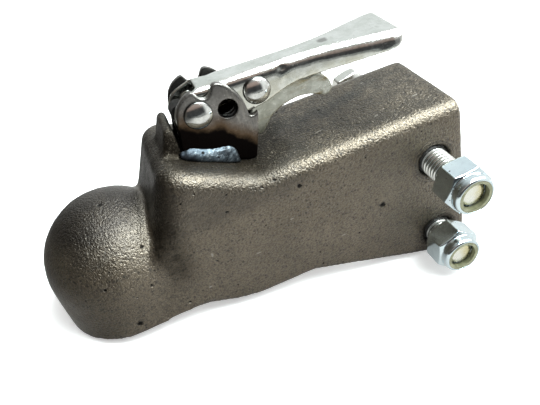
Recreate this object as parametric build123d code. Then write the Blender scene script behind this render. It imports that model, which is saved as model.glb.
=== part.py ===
from build123d import *
import os
import math

# Trailer coupling head, millimetres.
# Origin: centre of the tow ball.  +X to the tongue (rear), +Z up, -Y the left side.

# ---------------------------------------------------------------- driving dimensions
BALL_R = 29.37          # tow ball, 2 5/16 in
SOCKET_R = 29.9         # spherical seat
DOME_R = 38.4           # outside of the dome
RIM_Z = -25.4           # lower rim of the dome's skirt
BODY_HALF_W = 34.1      # outer half width of the casting
INNER_HALF_W = 26.0     # half width of the hollow
REAR_X = 193.8          # rear end
TOP_Z = 34.3            # roof of the rear part
ROOF_T = 8.3            # roof thickness
SHELF_X0, SHELF_Z0 = 51.7, 49.6   # a point of the sloped shelf
SHELF_SLOPE = 0.49      # fall of the shelf per mm to the rear
FRONT_X, FRONT_Z = 24.0, 25.7     # a point of the leaning front wall
FRONT_LEAN = 0.47       # its x per mm of height
TOP_EDGE_R = 7.6        # rounding of the long top edges
CORNER_R = 14.5         # rounding of the front corners
LIP_HALF_W = 12.0       # upstand in front of the bracket
LIP_TOP_Z = 66.4
LIP_X0, LIP_X1 = 46.4, 52.1

BOLT_X = 175.5          # tongue bolts
BOLT_UP_Z = 4.9
BOLT_PITCH = 50.8
BOLT_D = 15.875         # 5/8 in
BOLT_HOLE_D = 17.1      # generous cast holes
BOLT_LEN = 133.35       # 5 1/4 in
BOLT_SAG = 0.6          # the loose bolts lie on the floor of their holes
HEX_AF = 23.8           # 15/16 in
HEAD_H = 9.9
NUT_H = 19.4
NUT_HEX_H = 13.6
UP_NUT_END_Y = -71.5    # outer end of each nut
LOW_NUT_END_Y = -60.0
BOLT_IN_NUT = 3.0       # bolt end below the nut's end
BOSS_R, BOSS_H = 12.2, 0.6

PLATE_OUT = 12.4        # outer face of the bracket plates, from the middle plane
PLATE_T = 3.4
PIVOT = (65.5, 68.3)    # lever pivot, x z
TRIG = (96.7, 67.9)     # trigger pivot
PIN_HOLE = (80.0, 65.9)
PIN_HOLE_R = 4.76       # 3/8 in lock pin
RIVET_R = 4.0
RIVET_HEAD_R = 7.1
PIVOT_HEAD_H, TRIG_HEAD_H = 3.3, 3.9
HEAD_RIM = 0.9          # straight rim under the rivets' domes
CATCH = (86.2, 54.6)
CATCH_R = 3.0

LEV_T = 2.7             # lever sheet
LEV_HALF = 8.6          # half width of its narrow part
LEV_END_HALF = 18.5     # half width at the handle's end
LEV_END_X = 173.4
LEV_TOP_X0, LEV_TOP_Z0, LEV_FALL = 69.0, 78.9, 0.030
LEV_WEB_X0 = 68.6

TRIG_HALF = 5.5         # trigger's half width
TRIG_T = 1.9

LINK_R = 7.4            # link pin's distance from the lever pivot
LINK_ANGLE = 180.0      # its direction at rest, degrees from +X
LINK_PIN_R = 2.0
STEM_R = 4.76           # 3/8 in
JAW_PIVOT = (79.0, -6.0)
JAW_PIN_R = 4.0
JAW_HALF = 11.0
RUN = 0.05              # running clearance on the pins

NYLON_R_OUT = 9.1
SPRING_WIRE = 2.2
TSPRING_WIRE = 0.9

os.makedirs("parts", exist_ok=True)


# ---------------------------------------------------------------- helpers
def prism(curve, y0, y1):
    """A closed outline in the XZ plane, extruded from y0 to y1."""
    face = make_face(Plane.XZ * curve)
    return extrude(Pos(0, y1, 0) * face, amount=y1 - y0, dir=(0, -1, 0))


def poly(*pts):
    return Polyline(*pts, close=True)


def rod_y(x, z, r, y0, y1):
    """A round bar along Y."""
    return Pos(x, (y0 + y1) / 2, z) * Rot(90, 0, 0) * Cylinder(r, y1 - y0)


def rod_z(x, y, r, z0, z1):
    return Pos(x, y, (z0 + z1) / 2) * Cylinder(r, z1 - z0)


def block(x0, x1, y0, y1, z0, z1):
    return Pos((x0 + x1) / 2, (y0 + y1) / 2, (z0 + z1) / 2) * Box(x1 - x0, y1 - y0, z1 - z0)


def shelf_z(x):
    return SHELF_Z0 - SHELF_SLOPE * (x - SHELF_X0)


def front_x(z):
    return FRONT_X + FRONT_LEAN * (z - FRONT_Z)


def lever_top(x):
    return LEV_TOP_Z0 - LEV_FALL * (x - LEV_TOP_X0)


def try_fillet(shape, picks, radii):
    """Rounds the picked edges with the first radius that the shape takes."""
    for r in radii:
        try:
            out = fillet(picks(shape), r)
            if out.is_valid and abs(out.volume) > 0:
                return out
        except Exception:
            continue
    print("left sharp:", radii)
    return shape


def mirror_y(shape):
    return mirror(shape, Plane.XZ)


nodes = {}


def one(shape):
    """The single solid of a shape."""
    solids = shape.solids()
    return solids[0] if len(solids) == 1 else shape


# ---------------------------------------------------------------- casting, outside
front_0 = FRONT_X - FRONT_LEAN * FRONT_Z
shelf_front_z = (SHELF_Z0 - SHELF_SLOPE * (front_0 - SHELF_X0)) / (1 + SHELF_SLOPE * FRONT_LEAN)
shelf_front_x = front_x(shelf_front_z)
shelf_end_x = SHELF_X0 + (SHELF_Z0 - TOP_Z) / SHELF_SLOPE

outline = poly(
    (front_x(-3.0), -3.0),
    (shelf_front_x, shelf_front_z),
    (shelf_end_x, TOP_Z),
    (REAR_X, TOP_Z),
    (REAR_X, -62.6),
    (183.5, -63.7),
    (169.2, -60.6),
    (149.3, -54.2),
    (117.9, -43.4),
    (97.0, -36.6),
    (82.0, -36.6),
    (66.0, -36.9),
    (52.0, -34.3),
    (37.0, -28.6),
    (24.0, -26.4),
    (front_x(-3.0), RIM_Z),
)
body = prism(outline, -BODY_HALF_W, BODY_HALF_W)


def front_corners(s):
    out = []
    for e in s.edges():
        c = e.center()
        d = e.tangent_at(0.5)
        if abs(abs(c.Y) - BODY_HALF_W) < 0.01 and abs(d.Y) < 0.01 and c.X < 35 and c.Z > -3 and abs(d.Z) > 0.8:
            out.append(e)
    return out


body = try_fillet(body, front_corners, (CORNER_R, 12.0, 9.0))


def top_edges(s):
    """Both long top edges with the shelf's sides and the front's top edge."""
    out = []
    for e in s.edges():
        c = e.center()
        d = e.tangent_at(0.5)
        if c.Z > TOP_Z - 0.05 and c.X < REAR_X - 0.05:
            if abs(d.Y) < 0.05 and abs(abs(c.Y) - BODY_HALF_W) < 0.05:
                out.append(e)
            elif c.X < 52 and c.Z > 50 and abs(abs(c.Y) - BODY_HALF_W) > 0.05:
                out.append(e)
    return out


body = try_fillet(body, top_edges, (TOP_EDGE_R, 7.5, 6.0, 4.0))


def rear_edges(s):
    return [
        e
        for e in s.edges()
        if abs(e.center().X - REAR_X) < 0.02 and e.center().Z > 0 and abs(e.tangent_at(0.5).X) < 0.3
    ]


body = try_fillet(body, rear_edges, (3.0, 2.0, 1.2))

# skirt between the dome and the side walls
skirt_fill = extrude(
    Pos(0, 0, RIM_Z)
    * make_face(
        Polyline(
            (6.0, -37.9), (48.0, -BODY_HALF_W), (48.0, BODY_HALF_W), (6.0, 37.9), close=True
        )
    ),
    amount=33.0,
    taper=10.0,
)
dome = Sphere(DOME_R) - block(-60, 60, -60, 60, -60, 0)
skirt = rod_z(0, 0, DOME_R, RIM_Z, 0.0)

lip = prism(
    poly(
        (41.0, 46.0),
        (42.6, 54.0),
        (LIP_X0, LIP_TOP_Z - 2.4),
        (LIP_X0 + 1.2, LIP_TOP_Z),
        (LIP_X1, LIP_TOP_Z),
        (LIP_X1, 44.0),
    ),
    -LIP_HALF_W,
    LIP_HALF_W,
)


def lip_top(s):
    return [
        e
        for e in s.edges()
        if e.center().Z > LIP_TOP_Z - 8.0 and (abs(e.center().Z - LIP_TOP_Z) < 0.05 or abs(abs(e.center().Y) - LIP_HALF_W) < 0.05)
    ]


lip = try_fillet(lip, lip_top, (2.3, 1.8, 1.2))

body = body + dome + skirt + skirt_fill + lip

for zb in (BOLT_UP_Z, BOLT_UP_Z - BOLT_PITCH):
    for s in (-1, 1):
        a, b = sorted((s * (BODY_HALF_W - 1.0), s * (BODY_HALF_W + BOSS_H)))
        body = body + rod_y(BOLT_X, zb, BOSS_R, a, b)

# ---------------------------------------------------------------- casting, inside
inner_roof = TOP_Z - ROOF_T
shelf_in = 10.0


def shelf_in_z(x):
    return shelf_z(x) - shelf_in


x_shelf_in_end = SHELF_X0 + (SHELF_Z0 - shelf_in - inner_roof) / SHELF_SLOPE
hollow = prism(
    poly(
        (38.6, -90.0),
        (38.6, 6.0),
        (36.2, 14.0),
        (36.6, 24.0),
        (45.2, shelf_in_z(45.2)),
        (x_shelf_in_end, inner_roof),
        (REAR_X + 20, inner_roof),
        (REAR_X + 20, -90.0),
    ),
    -INNER_HALF_W,
    INNER_HALF_W,
)
hollow = try_fillet(
    hollow,
    lambda s: [
        e
        for e in s.edges()
        if abs(abs(e.center().Y) - INNER_HALF_W) < 0.01 and e.center().Z > 20 and abs(e.tangent_at(0.5).Y) < 0.01
    ],
    (5.0, 3.0),
)
socket = Sphere(SOCKET_R) + rod_z(0, 0, SOCKET_R, -60.0, 0.0)
jaw_slot = block(10.0, 50.0, -13.0, 13.0, -60.0, 4.0)
stem_slot = block(52.4, 69.2, -5.6, 5.6, 20.0, 60.0)

body = body - hollow - socket - jaw_slot

# inner bosses for the jaw's pin
for s in (-1, 1):
    a, b = sorted((s * (JAW_HALF + 1.0), s * (INNER_HALF_W + 0.5)))
    body = body + rod_y(JAW_PIVOT[0], JAW_PIVOT[1], 9.0, a, b)
body = body - stem_slot
body = body - rod_y(JAW_PIVOT[0], JAW_PIVOT[1], JAW_PIN_R + 0.01, -22.2, 22.2)
for zb in (BOLT_UP_Z, BOLT_UP_Z - BOLT_PITCH):
    body = body - rod_y(BOLT_X, zb, BOLT_HOLE_D / 2, -60, 60)
nodes["coupler_body"] = one(body)

# ---------------------------------------------------------------- bracket plates
plate_curve = (
    Line((52.3, shelf_z(52.3) + 0.1), (52.9, 55.6))
    + Spline((52.9, 55.6), (54.5, 64.8), (56.5, 73.2), (59.7, 77.6), (63.2, 79.7), (65.9, 80.35))
    + Spline((65.9, 80.35), (66.7, 79.0), (68.2, 76.5), (70.4, 75.05), (72.7, 75.3), (74.3, 77.0), (75.6, 79.2), (77.6, 80.45))
    + Spline((77.6, 80.45), (80.6, 78.9), (85.2, 73.4), (88.2, 67.5), (89.2, 61.5), (89.3, 59.3))
    + Spline((89.3, 59.3), (89.6, 58.2), (90.6, 57.7), (91.9, 57.8), (94.2, 58.7))
    + Line((94.2, 58.7), (91.8, 48.8))
    + Line((91.8, 48.8), (87.3, TOP_Z + 0.1))
    + Line((87.3, TOP_Z + 0.1), (shelf_end_x, TOP_Z + 0.1))
    + Line((shelf_end_x, TOP_Z + 0.1), (52.3, shelf_z(52.3) + 0.1))
)
left_plate = prism(plate_curve, -PLATE_OUT, -PLATE_OUT + PLATE_T)
left_plate = left_plate - rod_y(PIVOT[0], PIVOT[1], RIVET_R + 0.01, -20, 20)
left_plate = left_plate - rod_y(PIN_HOLE[0], PIN_HOLE[1], PIN_HOLE_R, -20, 20)
nodes["left_latch_plate"] = one(left_plate)
nodes["right_latch_plate"] = one(mirror_y(left_plate))


# ---------------------------------------------------------------- weld beads
def weld_section(x, leg_out, leg_up):
    """Cross-section of the bead at x, in the YZ plane, on the shelf and the plate."""
    z0 = shelf_z(x)
    y0 = -PLATE_OUT
    w = (
        Line((y0, z0), (y0, z0 + leg_up))
        + Spline((y0, z0 + leg_up), (y0 - 0.62 * leg_out, z0 + 0.55 * leg_up), (y0 - leg_out, z0))
        + Line((y0 - leg_out, z0), (y0, z0))
    )
    return Pos(x, 0, 0) * (Plane.YZ * make_face(w))


weld = loft([weld_section(50.2, 2.2, 2.4), weld_section(53.4, 3.5, 4.8), weld_section(59.0, 4.1, 6.4), weld_section(67.0, 4.0, 6.6), weld_section(75.4, 3.7, 8.7), weld_section(78.4, 2.1, 6.2)])
nodes["left_plate_weld"] = one(weld)
nodes["right_plate_weld"] = one(mirror_y(weld))

nodes["catch_bar"] = one(rod_y(CATCH[0], CATCH[1], CATCH_R, -PLATE_OUT + PLATE_T, PLATE_OUT - PLATE_T))

# ---------------------------------------------------------------- lever
# plan outline: narrow in the bracket, flared towards the handle's end
half_w = [(LEV_WEB_X0 - 30, LEV_HALF), (104.0, LEV_HALF), (114.0, LEV_HALF + 0.15), (124.0, 9.2), (135.0, 10.6), (146.0, 13.2), (157.0, 16.2), (167.0, LEV_END_HALF)]


def plan(inset, x_end, nose):
    """Plan of the lever's sheet, inset from the outer face."""
    top = [(x, w - inset) for x, w in half_w]
    a = Line(top[0], top[1])
    b = Spline(*top[1:], tangents=((1, 0), (1, 0.12)))
    end = top[-1]
    bot = [(x, -w) for x, w in top]
    if nose:
        c = (
            Spline(end, (x_end - 2.6, end[1] - 0.3), (x_end - 0.7, end[1] - 2.4), (x_end, end[1] - 6.5), tangents=((1, 0.1), (0, -1)))
            + Line((x_end, end[1] - 6.5), (x_end, -end[1] + 6.5))
            + Spline((x_end, -end[1] + 6.5), (x_end - 0.7, -end[1] + 2.4), (x_end - 2.6, -end[1] + 0.3), (end[0], -end[1]), tangents=((0, -1), (-1, 0.1)))
        )
    else:
        c = Line(end, (x_end, end[1] + 0.4)) + Line((x_end, end[1] + 0.4), (x_end, -end[1] - 0.4)) + Line((x_end, -end[1] - 0.4), (end[0], -end[1]))
    d = Spline(*[(x, w) for x, w in bot[::-1][:-1]], tangents=((-1, 0.12), (-1, 0)))
    e = Line(bot[1], bot[0])
    f = Line(bot[0], top[0])
    return a + b + c + d + e + f


def vertical(curve, z0, z1):
    return extrude(Pos(0, 0, z0) * make_face(curve), amount=z1 - z0, dir=(0, 0, 1))


p_top = (LEV_WEB_X0, lever_top(LEV_WEB_X0))
lobe = [p_top, (65.2, 77.7), (61.4, 76.4), (57.9, 74.3), (55.5, 70.8), (54.2, 66.3), (55.4, 61.6), (59.4, 58.6), (66.0, 57.9)]
side = (
    Line((LEV_END_X + 2, lever_top(LEV_END_X + 2)), p_top)
    + Spline(*lobe)
    + Line(lobe[-1], (76.0, 58.9))
    + Line((76.0, 58.9), (86.0, 59.4))
    + Spline((86.0, 59.4), (90.6, 58.9), (95.0, 59.0), (102.4, 60.6), (113.4, 63.9), (124.5, 64.9), (134.0, 65.0), (144.0, 65.4), (155.0, 66.2), (164.0, 67.0))
    + Spline((164.0, 67.0), (168.9, 67.9), (172.2, 70.1), (LEV_END_X, 72.8))
    + Line((LEV_END_X, 72.8), (LEV_END_X + 2, 72.8))
    + Line((LEV_END_X + 2, 72.8), (LEV_END_X + 2, lever_top(LEV_END_X + 2)))
)
lev_outer = prism(side, -30, 30) & vertical(plan(0.0, LEV_END_X, True), 40, 100)
lev_inner_side = poly(
    (LEV_WEB_X0 - 20, 30.0),
    (LEV_WEB_X0 - 20, 100.0),
    (LEV_WEB_X0, 100.0),
    (LEV_WEB_X0, lever_top(LEV_WEB_X0) - LEV_T),
    (LEV_END_X + 10, lever_top(LEV_END_X + 10) - LEV_T),
    (LEV_END_X + 10, 30.0),
)
lev_inner = prism(lev_inner_side, -30, 30) & vertical(plan(LEV_T, LEV_END_X + 10, False), 20, 110)


def lever_bends(s):
    """The long outer top edges of the folded sheet."""
    out = []
    for e in s.edges():
        c = e.center()
        if abs(c.Z - lever_top(c.X)) < 0.15 and abs(c.Y) > 5 and e.length > 8 and 72 < c.X < 168:
            out.append(e)
    return out


lev_outer = try_fillet(lev_outer, lever_bends, (5.0, 4.4, 3.6, 3.0, 2.2))
lever = lev_outer - lev_inner
lever = lever - rod_y(PIVOT[0], PIVOT[1], RIVET_R + RUN, -30, 30)
lever = lever - rod_y(TRIG[0], TRIG[1], RIVET_R + 0.01, -30, 30)
lever = lever - rod_y(PIN_HOLE[0], PIN_HOLE[1], PIN_HOLE_R, -30, 30)
link = (
    PIVOT[0] + LINK_R * math.cos(math.radians(LINK_ANGLE)),
    PIVOT[1] + LINK_R * math.sin(math.radians(LINK_ANGLE)),
)
lever = lever - rod_y(link[0], link[1], LINK_PIN_R + 0.01, -30, 30)
nodes["latch_lever"] = one(lever)


def rivet_head(x, z, y, s, rise):
    """Button head on a short straight rim; s is the side it points to."""
    dome = rise - HEAD_RIM
    ball_r = (RIVET_HEAD_R**2 + dome**2) / (2 * dome)
    ball = Pos(x, y + s * (rise - ball_r), z) * Sphere(ball_r)
    a, b = sorted((y, y + s * rise * 1.2))
    return ball & rod_y(x, z, RIVET_HEAD_R, a, b)


# lever pivot rivets: one stub on each side, clear of the stem between the flanges
tail_in = LEV_HALF - LEV_T - 0.3
stub = rod_y(PIVOT[0], PIVOT[1], RIVET_R, -PLATE_OUT, -(tail_in - 1.2))
stub = stub + rivet_head(PIVOT[0], PIVOT[1], -PLATE_OUT, -1, PIVOT_HEAD_H)
stub = stub + rod_y(PIVOT[0], PIVOT[1], 5.0, -tail_in, -(tail_in - 1.2))
nodes["left_pivot_rivet"] = one(stub)
nodes["right_pivot_rivet"] = one(mirror_y(stub))

tr = rod_y(TRIG[0], TRIG[1], RIVET_R, -LEV_HALF, LEV_HALF)
tr = tr + rivet_head(TRIG[0], TRIG[1], -LEV_HALF, -1, TRIG_HEAD_H) + rivet_head(TRIG[0], TRIG[1], LEV_HALF, 1, TRIG_HEAD_H)
nodes["trigger_rivet"] = one(tr)

# ---------------------------------------------------------------- trigger
hook_r = math.hypot(CATCH[0] - PIVOT[0], CATCH[1] - PIVOT[1]) + CATCH_R + 0.5


def around_pivot(deg):
    return (PIVOT[0] + hook_r * math.cos(math.radians(deg)), PIVOT[1] + hook_r * math.sin(math.radians(deg)))


h0, h1, h2 = around_pivot(-22.0), around_pivot(-38.0), around_pivot(-54.0)
trig_low = [(136.2, 54.2), (135.6, 51.5), (133.6, 50.1), (131.0, 50.2), (127.7, 51.8), (124.0, 53.4), (119.0, 54.4), (114.0, 54.2), (108.6, 52.9), (103.2, 50.4), (99.4, 46.9), (95.4, 42.4)]
trig_curve = (
    Spline((125.0, 63.0), (128.8, 63.2), (132.0, 61.5), (135.0, 58.2), (136.2, 54.2))
    + Spline(*trig_low)
    + Line((95.4, 42.4), (h2[0] + 1.6, h2[1] - 3.0))
    + Line((h2[0] + 1.6, h2[1] - 3.0), h2)
    + ThreePointArc(h2, h1, h0)
    + Line(h0, (92.2, TRIG[1] - 2.0))
    + ThreePointArc((92.2, TRIG[1] - 2.0), (TRIG[0] - 1.5, TRIG[1] + 4.9), (101.0, 71.0))
    + Spline((101.0, 71.0), (108.0, 68.2), (117.0, 65.2), (125.0, 63.0))
)
trig = prism(trig_curve, -TRIG_HALF, TRIG_HALF)
# the fold is open above: its floor follows the lower edge
floor_curve = (
    Spline((140.0, 56.6), (136.4, 53.2), (133.4, 52.05), (131.2, 52.15), (128.2, 53.7), (124.4, 55.3), (119.0, 56.3), (113.7, 56.1), (107.9, 54.7), (102.1, 52.0), (98.0, 48.2), (94.0, 43.7))
    + Line((94.0, 43.7), (80.0, 30.0))
    + Line((80.0, 30.0), (80.0, 90.0))
    + Line((80.0, 90.0), (140.0, 90.0))
    + Line((140.0, 90.0), (140.0, 56.6))
)
trig = trig - prism(floor_curve, -TRIG_HALF + TRIG_T, TRIG_HALF - TRIG_T)
trig = trig - rod_y(TRIG[0], TRIG[1], RIVET_R + RUN, -30, 30)
nodes["release_trigger"] = one(trig)

# ---------------------------------------------------------------- springs
def coil(x, y, z0, z1, mean_r, wire, pitch):
    """Compression spring along Z between z0 and z1."""
    path = Helix(pitch=pitch, height=z1 - z0 - wire, radius=mean_r)
    sec = Plane(origin=path @ 0, z_dir=path % 0) * Circle(wire / 2)
    return Pos(x, y, z0 + wire / 2) * sweep(sec, path=path, is_frenet=True)


ts_x = 116.0
ts_z0, ts_z1 = 56.7, lever_top(ts_x) - LEV_T - 0.2
nodes["trigger_spring"] = one(coil(ts_x, 0, ts_z0, ts_z1, 2.6, TSPRING_WIRE, 2.6))

# ---------------------------------------------------------------- link pin, stem, jaw
nodes["link_pin"] = one(rod_y(link[0], link[1], LINK_PIN_R, -LEV_HALF, LEV_HALF))

STEM_TOP = link
STEM_LOW = -34.5
eye = rod_y(link[0], link[1], 4.4, -4.0, 4.0)
shank_flat = block(link[0] - 4.1, link[0] + 4.1, -4.0, 4.0, 54.0, link[1])
shank = rod_z(link[0], 0, STEM_R, STEM_LOW, 57.0)
shank = chamfer(shank.edges().group_by(Axis.Z)[-1], 0.9)
shank = chamfer(shank.edges().group_by(Axis.Z)[0], 0.9)
stem = eye + shank_flat + shank
stem = stem - rod_y(link[0], link[1], LINK_PIN_R + RUN, -20, 20)
nodes["clamp_stem"] = one(stem)


def polar(r, deg):
    return (r * math.cos(math.radians(deg)), r * math.sin(math.radians(deg)))


pad_r0, pad_r1 = SOCKET_R, SOCKET_R + 8.4
a_top, a_low = -10.0, -50.0
jaw_curve = (
    ThreePointArc(polar(pad_r0, a_top), polar(pad_r0, (a_top + a_low) / 2), polar(pad_r0, a_low))
    + Line(polar(pad_r0, a_low), polar(pad_r1, a_low))
    + ThreePointArc(polar(pad_r1, a_low), polar(pad_r1, -40.0), polar(pad_r1, -31.0))
    + Line(polar(pad_r1, -31.0), (48.0, -13.4))
    + Line((48.0, -13.4), (JAW_PIVOT[0] - 2.0, JAW_PIVOT[1] - 7.746))
    + ThreePointArc((JAW_PIVOT[0] - 2.0, JAW_PIVOT[1] - 7.746), (JAW_PIVOT[0] + 8.0, JAW_PIVOT[1]), (JAW_PIVOT[0] - 2.0, JAW_PIVOT[1] + 7.746))
    + Line((JAW_PIVOT[0] - 2.0, JAW_PIVOT[1] + 7.746), (44.0, 1.0))
    + Line((44.0, 1.0), (36.0, -1.0))
    + Line((36.0, -1.0), polar(pad_r0, a_top))
)
jaw = prism(jaw_curve, -JAW_HALF, JAW_HALF)
# the pad is hollowed to the ball, and the stem passes through a long slot
jaw = jaw - Sphere(SOCKET_R)
slot_x0, slot_x1 = link[0] - STEM_R - 0.8, link[0] + STEM_R + 8.5
jaw = jaw - block(slot_x0, slot_x1, -6.0, 6.0, -40, 40)
jaw = jaw - rod_y(JAW_PIVOT[0], JAW_PIVOT[1], JAW_PIN_R + RUN, -30, 30)
nodes["ball_clamp"] = one(jaw)
nodes["jaw_pin"] = one(rod_y(JAW_PIVOT[0], JAW_PIVOT[1], JAW_PIN_R, -22.0, 22.0))

washer_z1 = -23.6
washer = rod_z(link[0], 0, 10.5, washer_z1 - 1.8, washer_z1) - rod_z(link[0], 0, STEM_R + 0.3, -60, 0)
nodes["spring_washer"] = one(washer)
nodes["clamp_spring"] = one(coil(link[0], 0, washer_z1 + 0.05, -14.1, 7.6, SPRING_WIRE, 3.1))
adj_z1 = washer_z1 - 1.8 - 0.05
adj_h = 7.6


def hexagon_z(x, y, af, z0, z1):
    r = af / math.sqrt(3.0)
    hexa = extrude(Pos(x, y, z0) * RegularPolygon(r, 6), amount=z1 - z0)
    cone = Pos(x, y, (z0 + z1) / 2) * Cylinder(r * 1.02, z1 - z0)
    cone = chamfer(cone.edges(), 0.07 * af, 0.07 * af)
    return hexa & cone


adj = hexagon_z(link[0], 0, 15.9, adj_z1 - adj_h, adj_z1) - rod_z(link[0], 0, STEM_R + 0.01, -60, 0)
nodes["adjusting_nut"] = one(adj)


# ---------------------------------------------------------------- tongue bolts
def hexagon_y(x, z, af, y0, y1, turn, both):
    """Hexagonal prism along Y with its corners chamfered on one or both ends."""
    r = af / math.sqrt(3.0)
    h = y1 - y0
    hexa = extrude(RegularPolygon(r, 6, rotation=turn), amount=h)
    c = Pos(0, 0, h / 2) * Cylinder(r * 1.005, h)
    ends = c.edges().sort_by(Axis.Z)
    c = chamfer(ends if both else ends[:1], 1.0, 2.1) if both else chamfer(ends[:1], 1.0, 2.1)
    # the prism's z=0 end goes to y1
    return Pos(x, y1, z) * Rot(90, 0, 0) * (hexa & c)


def bolt(z, end_y, turn):
    head_y = end_y + BOLT_LEN
    zc = z - BOLT_SAG
    s = rod_y(BOLT_X, zc, BOLT_D / 2, end_y, head_y)
    s = chamfer(s.edges().sort_by(Axis.Y)[:1], 1.2)
    return s + hexagon_y(BOLT_X, zc, HEX_AF, head_y, head_y + HEAD_H, turn, False)


def nut(z, end_y, turn):
    """Hexagon with a round collar at its outer end that holds the nylon ring."""
    zc = z - BOLT_SAG
    in_y = end_y + NUT_H
    hexa = hexagon_y(BOLT_X, zc, HEX_AF, in_y - NUT_HEX_H, in_y, turn, True)
    collar = rod_y(BOLT_X, zc, 10.9, end_y, in_y - NUT_HEX_H + 0.5)
    collar = fillet(collar.edges().sort_by(Axis.Y)[:1], 2.4)
    s = hexa + collar
    s = s - rod_y(BOLT_X, zc, BOLT_D / 2 + 0.01, end_y - 1, in_y + 1)
    s = s - rod_y(BOLT_X, zc, NYLON_R_OUT, end_y - 1, end_y + 4.6)
    return s


def insert(z, end_y):
    zc = z - BOLT_SAG
    s = rod_y(BOLT_X, zc, NYLON_R_OUT - 0.02, end_y + 0.5, end_y + 4.58)
    s = s - rod_y(BOLT_X, zc, 7.4, end_y - 1, end_y + 9)
    return s - rod_y(BOLT_X, zc, BOLT_D / 2 + 0.02, end_y + BOLT_IN_NUT - 0.1, end_y + 9)


low_z = BOLT_UP_Z - BOLT_PITCH
nodes["upper_bolt"] = one(bolt(BOLT_UP_Z, UP_NUT_END_Y + BOLT_IN_NUT, 12.0))
nodes["lower_bolt"] = one(bolt(low_z, LOW_NUT_END_Y + BOLT_IN_NUT, 40.0))
nodes["upper_nut"] = one(nut(BOLT_UP_Z, UP_NUT_END_Y, 5.0))
nodes["lower_nut"] = one(nut(low_z, LOW_NUT_END_Y, 23.0))
nodes["upper_nut_insert"] = one(insert(BOLT_UP_Z, UP_NUT_END_Y))
nodes["lower_nut_insert"] = one(insert(low_z, LOW_NUT_END_Y))

# ---------------------------------------------------------------- files
for name, shape in nodes.items():
    n = len(shape.solids())
    print(name, "solids", n, "volume", round(shape.volume, 1), "valid", shape.is_valid)
    export_step(shape, f"parts/{name}.step")
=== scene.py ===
import bpy
import bmesh
import math
import numpy as np
from mathutils import Vector, Matrix, noise


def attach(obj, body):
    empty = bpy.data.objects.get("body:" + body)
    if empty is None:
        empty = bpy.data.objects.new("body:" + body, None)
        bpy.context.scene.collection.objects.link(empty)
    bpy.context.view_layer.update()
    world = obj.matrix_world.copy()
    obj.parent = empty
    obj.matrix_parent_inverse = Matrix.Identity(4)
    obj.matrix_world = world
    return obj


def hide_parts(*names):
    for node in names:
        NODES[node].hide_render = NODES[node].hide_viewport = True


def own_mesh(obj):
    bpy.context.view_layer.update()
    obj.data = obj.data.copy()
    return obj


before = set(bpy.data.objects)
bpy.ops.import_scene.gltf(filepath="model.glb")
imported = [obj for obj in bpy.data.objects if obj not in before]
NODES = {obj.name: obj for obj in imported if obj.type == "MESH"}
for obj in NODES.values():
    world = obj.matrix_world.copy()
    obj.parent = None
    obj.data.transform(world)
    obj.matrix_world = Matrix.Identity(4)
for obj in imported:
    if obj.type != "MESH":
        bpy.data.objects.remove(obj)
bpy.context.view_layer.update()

MM = 0.001


# ------------------------------------------------------------------ mesh helpers
def new_object(name, mesh):
    o = bpy.data.objects.new(name, mesh)
    bpy.context.scene.collection.objects.link(o)
    return o


def set_smooth(mesh):
    mesh.polygons.foreach_set("use_smooth", np.ones(len(mesh.polygons), dtype=bool))
    mesh.update()


def coords(mesh):
    co = np.zeros(len(mesh.vertices) * 3)
    mesh.vertices.foreach_get("co", co)
    return co.reshape(-1, 3)


def put_coords(mesh, co):
    mesh.vertices.foreach_set("co", np.ascontiguousarray(co, dtype=np.float64).ravel())
    mesh.update()


def edge_pairs(mesh):
    e = np.zeros(len(mesh.edges) * 2, dtype=np.int64)
    mesh.edges.foreach_get("vertices", e)
    return e.reshape(-1, 2)


def relax(mesh, times, share=0.5, weight=None):
    """Moves each point towards the mean of its neighbours; weight limits it to a region."""
    co = coords(mesh)
    e = edge_pairs(mesh)
    n = len(co)
    count = np.bincount(e.ravel(), minlength=n).astype(float)
    count[count == 0] = 1
    w = share if weight is None else share * weight[:, None]
    for _ in range(times):
        total = np.empty_like(co)
        for k in range(3):
            total[:, k] = np.bincount(e[:, 0], co[e[:, 1], k], n) + np.bincount(e[:, 1], co[e[:, 0], k], n)
        co = co + w * (total / count[:, None] - co)
    put_coords(mesh, co)


def normals(mesh):
    no = np.zeros(len(mesh.vertices) * 3)
    mesh.vertices.foreach_get("normal", no)
    return no.reshape(-1, 3)


def soften(name, node, voxel, times, body):
    """A copy of a CAD node with an even skin and softly broken edges, which stands for the node."""
    me = NODES[node].data.copy()
    bm = bmesh.new()
    bm.from_mesh(me)
    bmesh.ops.remove_doubles(bm, verts=bm.verts, dist=2e-6)
    bm.to_mesh(me)
    bm.free()
    tmp = new_object(name + "_tmp", me)
    r = tmp.modifiers.new("skin", "REMESH")
    r.mode = "VOXEL"
    r.voxel_size = voxel * MM
    r.adaptivity = 0.0
    dg = bpy.context.evaluated_depsgraph_get()
    out = bpy.data.meshes.new_from_object(tmp.evaluated_get(dg))
    bpy.data.objects.remove(tmp)
    out.name = name
    out.materials.clear()
    o = new_object(name, out)
    relax(out, times)
    set_smooth(out)
    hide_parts(node)
    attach(o, body)
    return o


def grid_mesh(name, rings, cap_start=True, cap_end=True):
    """Joins closed rings of equal length, one after another, into a skin with closed ends."""
    n = len(rings[0])
    verts = [tuple(p) for ring in rings for p in ring]
    faces = []
    for i in range(len(rings) - 1):
        for j in range(n):
            k = (j + 1) % n
            faces.append((i * n + j, i * n + k, (i + 1) * n + k, (i + 1) * n + j))
    if cap_start:
        c = len(verts)
        verts.append(tuple(np.mean(np.array(rings[0]), axis=0)))
        faces += [(c, (j + 1) % n, j) for j in range(n)]
    if cap_end:
        c = len(verts)
        verts.append(tuple(np.mean(np.array(rings[-1]), axis=0)))
        b = (len(rings) - 1) * n
        faces += [(c, b + j, b + (j + 1) % n) for j in range(n)]
    return verts, faces


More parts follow.
